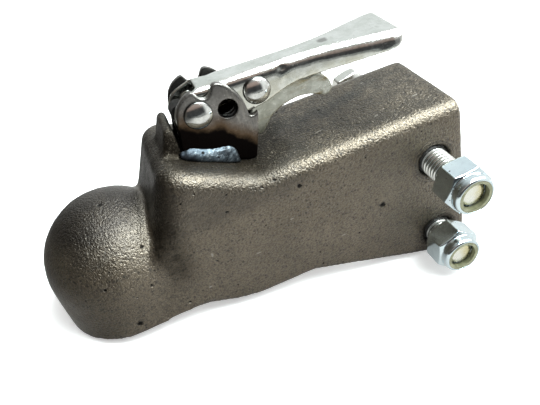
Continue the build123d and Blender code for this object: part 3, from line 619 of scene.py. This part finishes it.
def weld_material():
    n = Nodes("weld_bead_skin")
    x, y, z = n.xyz()
    cloud = n.noise(150.0, 4.0, 0.6)
    streak = n.noise(70.0, 4.0, 0.6, co=n.stretch((1.2, 4.5, 4.5), (0.0, 0.5, 0.0)), distort=0.8)
    col = n.mix(n.span(cloud, 0.35, 0.7), (0.046, 0.059, 0.070), (0.104, 0.128, 0.146))
    # pale streaks: painted highlights along the bead
    col = n.mix(n.span(streak, 0.50, 0.74, 0.0, 0.75), col, (0.215, 0.255, 0.282))
    # fine slanting ripples, with painted highlights and painted shade in their pale and dark bands
    tilt = n.nt.nodes.new("ShaderNodeMapping")
    tilt.inputs["Rotation"].default_value = (0.0, 0.62, 0.0)
    n.nt.links.new(n.co, tilt.inputs["Vector"])
    thin = n.nt.nodes.new("ShaderNodeMapping")
    thin.inputs["Scale"].default_value = (0.8, 4.6, 4.6)
    n.nt.links.new(tilt.outputs[0], thin.inputs["Vector"])
    ripple = n.noise(190.0, 3.0, 0.6, co=thin.outputs[0], distort=0.4)
    col = n.mix(n.span(ripple, 0.47, 0.34, 0.0, 0.70), col, (0.026, 0.033, 0.041))
    col = n.mix(n.span(ripple, 0.54, 0.68, 0.0, 0.60), col, (0.27, 0.318, 0.348))
    burn = n.span(n.noise(210.0, 3.0, 0.6, distort=0.5), 0.56, 0.74, 0.0, 0.85)
    col = n.mix(burn, col, (0.020, 0.021, 0.024))
    ends = n.math("MAXIMUM", n.span(x, 76.0 * MM, 79.0 * MM), n.span(x, 53.0 * MM, 50.5 * MM))
    col = n.mix(n.math("MULTIPLY", ends, 0.92), col, (0.012, 0.012, 0.014))
    # a small dark hole in each bead, with painted shade in it
    ay = n.math("ABSOLUTE", y)
    pin = n.nt.nodes.new("ShaderNodeCombineXYZ")
    n.put(pin.inputs[0], x)
    n.put(pin.inputs[1], ay)
    n.put(pin.inputs[2], z)
    gap = n.nt.nodes.new("ShaderNodeVectorMath")
    gap.operation = "DISTANCE"
    n.nt.links.new(pin.outputs[0], gap.inputs[0])
    gap.inputs[1].default_value = (61.5 * MM, 14.3 * MM, 49.3 * MM)
    hole = n.span(gap.outputs["Value"], 0.85 * MM, 0.55 * MM)
    col = n.mix(n.math("MULTIPLY", hole, 0.95), col, (0.006, 0.006, 0.006))
    first = n.span(n.math("ADD", x, n.math("MULTIPLY", n.math("SUBTRACT", n.noise(180.0, 2.0), 0.5), 5.0 * MM)), 60.0 * MM, 53.5 * MM)
    col = n.mix(n.math("MULTIPLY", first, 0.75), col, (0.022, 0.027, 0.034))
    n.set(color=col, rough=n.span(cloud, 0.3, 0.75, 0.29, 0.43), metal=1.0)
    b = n.bump(streak, 0.34, 0.9)
    b = n.bump(ripple, 0.22, 0.35, b)
    b = n.bump(n.math("SUBTRACT", 1.0, hole), 0.9, 0.6, b)
    n.set(normal=b)
    return n.mat


def dark_material(name, a, b_, low, high, metal=0.8):
    n = Nodes(name)
    cloud = n.noise(160.0, 4.0, 0.6)
    fine = n.noise(800.0, 2.0, 0.5)
    col = n.mix(n.span(cloud, 0.35, 0.7), a, b_)
    n.set(color=col, rough=n.span(fine, 0.3, 0.75, low, high), metal=metal)
    n.set(normal=n.bump(fine, 0.12, 0.2))
    return n.mat


def nylon_material():
    n = Nodes("nylon_ring_skin")
    cloud = n.noise(260.0, 3.0, 0.6)
    col = n.mix(n.span(cloud, 0.35, 0.7), (0.120, 0.122, 0.068), (0.190, 0.190, 0.118))
    n.set(color=col, rough=n.span(cloud, 0.3, 0.7, 0.30, 0.46), metal=0.0)
    n.set(normal=n.bump(n.noise(900.0, 2.0), 0.08, 0.15))
    return n.mat


M_CAST = casting_material()
M_LEVER = lever_material()
M_RIVET = rivet_material()
M_TRIGGER = trigger_material()
M_BOLT = bolt_material()
M_NUT = zinc_material("zinc_nut_skin", (0.79, 0.91, 0.95), (0.66, 0.77, 0.82), 0.08, 0.17, 0.04, 260.0, specks=0.9)
M_PLATE = plate_material()
M_WELD = weld_material()
M_DARK = dark_material("black_oxide_skin", (0.020, 0.019, 0.018), (0.050, 0.047, 0.044), 0.38, 0.55)
M_SPRING = dark_material("spring_steel_skin", (0.055, 0.055, 0.058), (0.11, 0.11, 0.115), 0.26, 0.40, 0.95)
M_CLAMP = dark_material("clamp_iron_skin", (0.055, 0.049, 0.042), (0.105, 0.094, 0.080), 0.45, 0.62, 0.4)
M_NYLON = nylon_material()


def paint(obj, mat):
    obj.data.materials.clear()
    obj.data.materials.append(mat)


def paint_node(name, mat):
    o = NODES[name]
    if o.material_slots:
        for s in o.material_slots:
            s.material = mat
    else:
        o.data.materials.append(mat)


# ------------------------------------------------------------------ casting
cast = soften("coupler_casting", "coupler_body", 1.2, 5, "base")
co = coords(cast.data) / MM
r_xy = np.hypot(co[:, 0], co[:, 1])
# the valley between dome and neck is a soft cast fillet
valley = np.exp(-(((co[:, 0] - 22.0) / 11.0) ** 2)) * np.clip((np.abs(co[:, 1]) + np.maximum(co[:, 2], 0) - 8.0) / 14.0, 0, 1)
outside = (np.linalg.norm(co, axis=1) > 34.0) & (co[:, 2] > -24.0)
relax(cast.data, 7, 0.5, np.where(outside, valley, 0.0))
co = coords(cast.data) / MM
ay, zz = np.abs(co[:, 1]), co[:, 2]
low = np.clip((24.0 - zz) / 12.0, 0, 1)
low = low * low * (3 - 2 * low)
foot = np.clip((zz + 9.0) / 10.0, 0, 1)
wall = 24.0 + 0.47 * (zz - 25.7) - 7.0 * low
reach = np.clip(wall + 14.5 - co[:, 0], 0, 14.5)
neck = 19.6 + np.sqrt(14.5**2 - reach**2)
skin = (ay > 25.5) & (np.linalg.norm(co, axis=1) > 34.5) & (co[:, 0] > wall) & (co[:, 0] < 40) & (zz > -10) & (zz < 25)
grow = np.where(skin, np.clip(neck - ay, 0, 4.5), 0) * foot
co[:, 1] += np.sign(co[:, 1]) * grow
put_coords(cast.data, co * MM)
relax(cast.data, 3, 0.5, np.where(skin, 1.0, 0.0))
co = coords(cast.data)
no = normals(cast.data)
lift = np.empty(len(co))
for i, p in enumerate(co):
    v = Vector(p)
    lift[i] = noise.noise(v * 55.0) * 0.16 + noise.noise(v * 170.0) * 0.09 - 0.16
for px, py, pz, pr in PITS:
    d = np.linalg.norm(co / MM - np.array([px, py, pz]), axis=1)
    lift -= 0.55 * np.exp(-((d / (pr * 0.9)) ** 2))
put_coords(cast.data, co + no * (lift * MM)[:, None])
paint(cast, M_CAST)

# ------------------------------------------------------------------ bracket and welds
for side in ("left", "right"):
    o = soften(side + "_bracket_plate", side + "_latch_plate", 0.5, 3, "base")
    paint(o, M_PLATE)
    w = soften(side + "_weld_bead", side + "_plate_weld", 0.4, 3, "base")
    c = coords(w.data)
    nn = normals(w.data)
    out_ = np.array([0.0, -1.0 if side == "left" else 1.0, 0.55])
    face = np.clip(nn @ (out_ / np.linalg.norm(out_)), 0, 1)
    amp = np.empty(len(c))
    for i, p in enumerate(c):
        v = Vector((p[0], abs(p[1]), p[2]))
        amp[i] = 0.24 * noise.noise(v * 120.0) + 0.07 * noise.noise(v * 420.0) + 0.10 * math.sin((p[0] + 0.6 * (abs(p[1]) - 0.0124)) / 0.00062)
    put_coords(w.data, c + nn * (face * amp * 0.9 * MM)[:, None])
    relax(w.data, 2)
    paint(w, M_WELD)

# ------------------------------------------------------------------ lever, trigger, rivets
lever = soften("hand_lever", "latch_lever", 0.5, 2, "lever")
SHEET = 2.7
c = coords(lever.data) / MM
BEND = np.interp(c[:, 0], (90.0, 140.0), (4.8, 7.0))
half = np.interp(c[:, 0], (38.6, 104.0, 114.0, 124.0, 135.0, 146.0, 157.0, 167.0, 174.0), (8.6, 8.6, 8.75, 9.2, 10.6, 13.2, 16.2, 18.5, 18.5))
in_y = half - np.abs(c[:, 1])
in_z = 78.9 - 0.030 * (c[:, 0] - 69.0) - c[:, 2]
corner = (in_y < BEND) & (in_z < BEND) & (c[:, 0] > 69.5)
dist = np.hypot(BEND - in_y, BEND - in_z)
want = np.where(dist > BEND - 0.55 * SHEET, np.minimum(dist, BEND), np.minimum(dist, BEND - SHEET))
k = np.where(corner & (dist > 1e-6), want / np.maximum(dist, 1e-6), 1.0)
ease = np.clip((c[:, 0] - 69.5) / 5.0, 0, 1)
k = 1.0 + (k - 1.0) * ease
ny, nz = BEND - (BEND - in_y) * k, BEND - (BEND - in_z) * k
c[:, 1] = np.where(corner, np.sign(c[:, 1]) * (half - ny), c[:, 1])
c[:, 2] = np.where(corner, c[:, 2] + in_z - nz, c[:, 2])
# a pinched spot in each side, just below the bend
for sgn in (-1.0, 1.0):
    d2 = ((c[:, 0] - 111.7) / 2.2) ** 2 + ((c[:, 2] - 73.6) / 1.5) ** 2
    c[:, 1] -= sgn * 0.75 * np.exp(-d2) * (c[:, 1] * sgn > 5.0)
    d3 = ((c[:, 0] - 110.6 - 0.25 * (c[:, 2] - 70.0)) / 0.9) ** 2 + ((c[:, 2] - 69.6) / 3.0) ** 2
    c[:, 1] += sgn * 0.16 * np.exp(-d3) * (c[:, 1] * sgn > 5.0)
put_coords(lever.data, c * MM)
relax(lever.data, 4)
paint(lever, M_LEVER)
trigger = soften("finger_trigger", "release_trigger", 0.4, 4, "trigger")
paint(trigger, M_TRIGGER)
for side in ("left", "right"):
    o = soften(side + "_rivet", side + "_pivot_rivet", 0.3, 4, "base")
    paint(o, M_RIVET)
o = soften("trigger_pin", "trigger_rivet", 0.3, 4, "lever")
paint(o, M_RIVET)

# ------------------------------------------------------------------ bolts and nuts
BOLT_X, BOLT_R, BOLT_LEN, HEAD_H, HEX_AF = 175.5, 7.92, 133.35, 9.9, 23.8
PITCH, THREAD_H, THREAD_L = 2.309, 1.15, 58.0


def hex_radius(phi, turn, af, round_r):
    a = (phi - math.radians(turn)) % (math.pi / 3) - math.pi / 6
    flat = af / 2 / math.cos(a)
    lim = af / math.sqrt(3.0) - round_r * 0.15
    return min(flat, lim)


def make_bolt(name, node, zc, end_y, turn):
    n, per = 72, 12
    ang = [2 * math.pi * j / n for j in range(n)]

    def at(y, r, a):
        return ((BOLT_X + r * math.cos(a)) * MM, y * MM, (zc + r * math.sin(a)) * MM)

    def plugged(y, r, a):
        # the skin swells to close the clearance inside each wall, a dark plug that stands in for the shade in the gap
        if 27.0 < abs(y) < 33.3:
            return ((BOLT_X + 8.45 * math.cos(a)) * MM, y * MM, (zc + 0.6 + 8.45 * math.sin(a)) * MM)
        return at(y, r, a)

    # helical skin: row i has one phase of the thread, and the seam steps on by one pitch
    last = per + int(math.ceil(THREAD_L / PITCH * per)) + 1
    verts, faces = [], []
    for i in range(last + per + 1):
        u = (i / per) % 1.0
        tri = min(1.0, max(0.0, (abs(2 * u - 1) - 0.07) / 0.84))
        for j in range(n):
            t = ((i - per) / per + j / n) * PITCH
            t = min(THREAD_L, max(0.02, t))
            fade = min(1.0, (THREAD_L - t) / 4.0)
            r = min(BOLT_R - THREAD_H * tri * fade, 5.9 + (t - 0.02) * 0.85)
            verts.append(plugged(end_y + t, r, ang[j]))
    for i in range(last):
        for j in range(n):
            if j + 1 < n:
                faces.append((i * n + j, i * n + j + 1, (i + 1) * n + j + 1, (i + 1) * n + j))
            else:
                faces.append((i * n + j, (i + per) * n, (i + 1 + per) * n, (i + 1) * n + j))
    tip = []
    for r, d in ((0.9, 0.10), (2.4, 0.03), (4.4, 0.06), (5.9, 0.02)):
        tip.append([at(end_y + (d if r < 5.8 else 0.02), r, a) for a in ang])
    end = grid_mesh(name, tip, True, False)
    rest = []
    for y in (THREAD_L, THREAD_L + 1.0, THREAD_L + 8.0, 26.9 - end_y, 27.1 - end_y, 33.2 - end_y, 33.4 - end_y, BOLT_LEN - 1.0, BOLT_LEN + 0.5):
        rest.append([plugged(end_y + y, BOLT_R, a) for a in ang])
    plain = grid_mesh(name, rest, False, True)
    m = 144
    ang2 = [2 * math.pi * j / m + math.radians(turn) for j in range(m)]
    prof = [(0.0, 10.6), (0.35, 11.2), (0.7, 99), (1.2, 99), (3.0, 99), (5.5, 99), (7.0, 99), (7.6, 99), (8.2, 13.2), (8.7, 12.5), (9.2, 11.7), (9.6, 11.1), (9.82, 10.7), (HEAD_H, 10.2), (HEAD_H, 9.0), (HEAD_H - 0.25, 8.6), (HEAD_H - 0.25, 4.0)]
    hr = [[at(end_y + BOLT_LEN + t, min(hex_radius(a, turn, HEX_AF, 1.0), cap), a) for a in ang2] for t, cap in prof]
    me = make_mesh(name, [(verts, faces), end, plain, grid_mesh(name, hr)])
    bm = bmesh.new()
    bm.from_mesh(me)
    bmesh.ops.remove_doubles(bm, verts=bm.verts, dist=1e-6)
    bmesh.ops.dissolve_degenerate(bm, edges=bm.edges, dist=1e-7)
    bmesh.ops.delete(bm, geom=[v for v in bm.verts if not v.link_faces], context="VERTS")
    bmesh.ops.recalc_face_normals(bm, faces=bm.faces)
    bm.to_mesh(me)
    bm.free()
    set_smooth(me)
    o = new_object(name, me)
    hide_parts(node)
    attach(o, "base")
    paint(o, M_BOLT)
    return o


make_bolt("upper_tongue_bolt", "upper_bolt", 4.3, -68.5, 12.0)
make_bolt("lower_tongue_bolt", "lower_bolt", -46.5, -57.0, 40.0)
for which in ("upper", "lower"):
    o = soften(which + "_lock_nut", which + "_nut", 0.4, 3, "base")
    paint(o, M_NUT)

# ------------------------------------------------------------------ springs
def make_coil(name, node, cx, z0, z1, mean_r, wire, pitch, body):
    """A wire wound along Z at an even pitch, thinner at both ends, in the space of its CAD node."""
    per, sides = 30, 12
    turns = (z1 - z0 - wire) / pitch
    total = int(round(turns * per))
    rings = []
    for i in range(total + 1):
        a = 2 * math.pi * i / per
        zc = z0 + wire / 2 + (z1 - z0 - wire) * i / total
        rise = (z1 - z0 - wire) / (2 * math.pi * turns)
        tan = Vector((-mean_r * math.sin(a), mean_r * math.cos(a), rise)).normalized()
        rad = Vector((math.cos(a), math.sin(a), 0.0))
        up = rad.cross(tan)
        end = min(i, total - i) / (0.25 * per)
        w = wire / 2 * (0.72 + 0.27 * min(1.0, end))
        mid = Vector((cx + mean_r * math.cos(a), mean_r * math.sin(a), zc))
        rings.append([tuple((mid + rad * (w * math.cos(t)) + up * (w * math.sin(t))) * MM) for t in (2 * math.pi * j / sides for j in range(sides))])
    o = new_object(name, make_mesh(name, [grid_mesh(name, rings)]))
    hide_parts(node)
    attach(o, body)
    paint(o, M_SPRING)
    return o


coil = make_coil("trigger_return_spring", "trigger_spring", 116.0, 56.7, 74.59, 2.6, 0.9, 2.6, "lever")
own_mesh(coil)
coil = make_coil("clamp_push_spring", "clamp_spring", 58.1, -23.55, -14.1, 7.6, 2.2, 3.1, "stem")
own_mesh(coil)

# ------------------------------------------------------------------ carried-over CAD nodes
for nme in ("catch_bar", "link_pin", "clamp_stem", "jaw_pin"):
    paint_node(nme, M_DARK)
clamp = soften("ball_clamp_jaw", "ball_clamp", 0.8, 4, "jaw")
paint(clamp, M_CLAMP)
for nme in ("spring_washer", "adjusting_nut"):
    paint_node(nme, M_BOLT)
for nme in ("upper_nut_insert", "lower_nut_insert"):
    paint_node(nme, M_NYLON)

# ------------------------------------------------------------------ floor, light, camera
# the head rests on the front rim of its skirt and on the rear corners
slope = (-63.7 + 25.4) / (184.0 + 38.4)
fv = []
for fx, fy in ((-30000, -30000), (30000, -30000), (30000, 30000), (-30000, 30000)):
    fv.append((fx * MM, fy * MM, (-25.4 + slope * (fx + 38.4) - 0.15) * MM))
fm = bpy.data.meshes.new("floor")
fm.from_pydata(fv, [], [(0, 1, 2, 3)])
floor = new_object("floor", fm)
n = Nodes("floor_paper")
n.set(color=(0.86, 0.86, 0.855, 1.0), rough=0.8, spec=0.0)
n.bsdf.inputs["Emission Color"].default_value = (1.0, 1.0, 1.0, 1.0)
n.bsdf.inputs["Emission Strength"].default_value = 0.46
n.set(normal=n.bump(n.noise(900.0, 2.0), 0.03, 0.1))
floor.data.materials.append(n.mat)

sc = bpy.context.scene
world = bpy.data.worlds.new("studio") if sc.world is None else sc.world
sc.world = world
world.use_nodes = True
bg = next(nd for nd in world.node_tree.nodes if nd.type == "BACKGROUND")
bg.inputs["Strength"].default_value = 1.0
wt = world.node_tree


def wnode(kind, **kw):
    nd = wt.nodes.new(kind)
    for k, v in kw.items():
        setattr(nd, k, v)
    return nd


wdir = wnode("ShaderNodeSeparateXYZ")
wt.links.new(wnode("ShaderNodeTexCoord").outputs["Generated"], wdir.inputs[0])


def wspan(axis, a, b):
    nd = wnode("ShaderNodeMapRange", interpolation_type="SMOOTHSTEP")
    wt.links.new(wdir.outputs[axis], nd.inputs["Value"])
    nd.inputs["From Min"].default_value = a
    nd.inputs["From Max"].default_value = b
    return nd.outputs[0]


def wmix(fac, a, b):
    nd = wnode("ShaderNodeMix", data_type="RGBA")
    wt.links.new(fac, nd.inputs[0])
    for sock, v in ((nd.inputs[6], a), (nd.inputs[7], b)):
        if isinstance(v, tuple):
            sock.default_value = (*v, 1)
        else:
            wt.links.new(v, sock)
    return nd.outputs[2]


# the room: pale paper behind and above, dim and warm in front, dim on the left
room = wmix(wspan("Y", -0.30, 0.30), (0.36, 0.335, 0.32), (0.86, 0.90, 0.90))
room = wmix(wspan("Z", 0.70, 0.97), room, (0.80, 0.81, 0.80))
room = wmix(wspan("X", -0.72, 0.22), (0.118, 0.108, 0.088), room)
room = wmix(wspan("X", 0.42, 0.80), room, (0.95, 0.96, 0.94))
wt.links.new(room, bg.inputs["Color"])
sc.view_settings.view_transform = "Standard"
sc.view_settings.look = "None"
sc.view_settings.exposure = 0.0
sc.view_settings.gamma = 1.0

MID = Vector((0.075, 0.0, 0.0))


def area(name, direction, dist, sx, sy, watts, color=(1, 1, 1)):
    d = bpy.data.lights.new(name, "AREA")
    d.shape = "RECTANGLE"
    d.size = sx
    d.size_y = sy
    d.energy = watts
    d.color = color
    o = bpy.data.objects.new(name, d)
    sc.collection.objects.link(o)
    v = Vector(direction).normalized()
    o.location = MID + v * dist
    o.rotation_euler = v.to_track_quat("Z", "Y").to_euler()
    o.visible_camera = False
    return o


area("key", (0.515, -0.215, 0.83), 1.1, 1.00, 0.85, 37.5, (0.91, 1.0, 1.01))
area("right_fill", (0.88, -0.10, 0.50), 1.3, 0.75, 0.7, 10.0, (0.95, 1.0, 1.0))


def card(name, corners, color, strength):
    """A flag beside the set: it is met by mirrored rays only and throws no shadow."""
    me = bpy.data.meshes.new(name)
    me.from_pydata(corners, [], [(0, 1, 2, 3)])
    o = new_object(name, me)
    k = Nodes(name + "_cloth")
    k.set(color=(0.0, 0.0, 0.0, 1.0), rough=1.0, spec=0.0)
    k.bsdf.inputs["Emission Color"].default_value = (*color, 1.0)
    k.bsdf.inputs["Emission Strength"].default_value = strength
    o.data.materials.append(k.mat)
    o.visible_camera = False
    o.visible_diffuse = False
    o.visible_shadow = False
    o.visible_transmission = False
    return o


front = card("front_flag", [(-0.9, -0.34, -0.30), (1.1, -0.34, -0.30), (1.1, -0.34, 0.40), (-0.9, -0.34, 0.40)], (0.19, 0.145, 0.125), 1.0)
k = Nodes("front_flag_shade")
k.set(color=(0.0, 0.0, 0.0, 1.0), rough=1.0, spec=0.0)
shade = k.ramp(k.math("ADD", k.math("MULTIPLY", k.xyz()[2], 2.0), 0.12), [(0.0, (0.20, 0.215, 0.21)), (0.02, (0.36, 0.38, 0.37)), (0.08, (0.36, 0.38, 0.37)), (0.13, (0.044, 0.047, 0.050)), (0.48, (0.050, 0.049, 0.049)), (0.56, (0.33, 0.25, 0.22)), (0.80, (0.44, 0.35, 0.31))])
# it opens to the window on the right
k.put(k.bsdf.inputs["Emission Color"], k.mix(k.span(k.xyz()[0], 0.27, 0.45), shade, (0.95, 0.97, 0.95)))
k.bsdf.inputs["Emission Strength"].default_value = 1.0
front.data.materials.clear()
front.data.materials.append(k.mat)
card("left_flag", [(-0.30, -0.45, -0.10), (-0.30, 0.60, -0.10), (-0.30, 0.60, 0.60), (-0.30, -0.45, 0.60)], (0.10, 0.092, 0.080), 1.0)
# a sheet on the floor that is pale on the right, dim on the left, and carries a painted shadow close to the head
lay = card("floor_sheet", [(-0.9, -0.9, 0), (1.1, -0.9, 0), (1.1, 1.2, 0), (-0.9, 1.2, 0)], (1.0, 1.0, 1.0), 1.0)
put_coords(lay.data, np.array([(vx, vy, (-25.4 + slope * (vx / MM + 38.4) + 0.3) * MM) for vx, vy, _ in coords(lay.data)]))
k = Nodes("floor_sheet_paper")
kx, ky, kz = k.xyz()
pale = k.span(kx, -0.13, 0.05)
foot = k.math("MAXIMUM", k.math("SUBTRACT", k.math("ABSOLUTE", k.math("SUBTRACT", kx, 0.078)), 0.105), k.math("SUBTRACT", k.math("ABSOLUTE", ky), 0.034))
glow = k.math("MULTIPLY", k.math("ADD", k.math("MULTIPLY", pale, 0.86), 0.10), k.span(foot, -0.01, 0.05, 0.30, 1.0))
# the paper ends a hand's breadth in front of the head
edge = k.math("MAXIMUM", k.span(ky, -0.292, -0.277), k.span(kx, 0.40, 0.54))
glow = k.math("MULTIPLY", glow, k.math("ADD", k.math("MULTIPLY", edge, 0.90), 0.10))
k.set(color=(0.0, 0.0, 0.0, 1.0), rough=1.0, spec=0.0)
k.bsdf.inputs["Emission Color"].default_value = (0.99, 1.0, 0.97, 1.0)
k.put(k.bsdf.inputs["Emission Strength"], glow)
lay.data.materials.clear()
lay.data.materials.append(k.mat)

AZ, EL, ROLL = (math.radians(a) for a in (-9.635885, 37.663971, -16.250602))
back = Vector((math.sin(AZ) * math.cos(EL), -math.cos(AZ) * math.cos(EL), math.sin(EL)))
right = Vector((math.cos(AZ), math.sin(AZ), 0.0))
up_ = back.cross(right)
R_ = right * math.cos(ROLL) + up_ * math.sin(ROLL)
U_ = -right * math.sin(ROLL) + up_ * math.cos(ROLL)
cam_data = bpy.data.cameras.new("camera")
cam_data.sensor_width = 36.0
cam_data.lens = 566.882 / 540.0 * 36.0
cam_data.clip_start = 0.01
cam_data.clip_end = 50.0
cam = bpy.data.objects.new("camera", cam_data)
sc.collection.objects.link(cam)
m = Matrix((R_, U_, back)).transposed().to_4x4()
m.translation = Vector((45.7136, -254.6352, 193.2364)) * MM
cam.matrix_world = m
sc.camera = cam
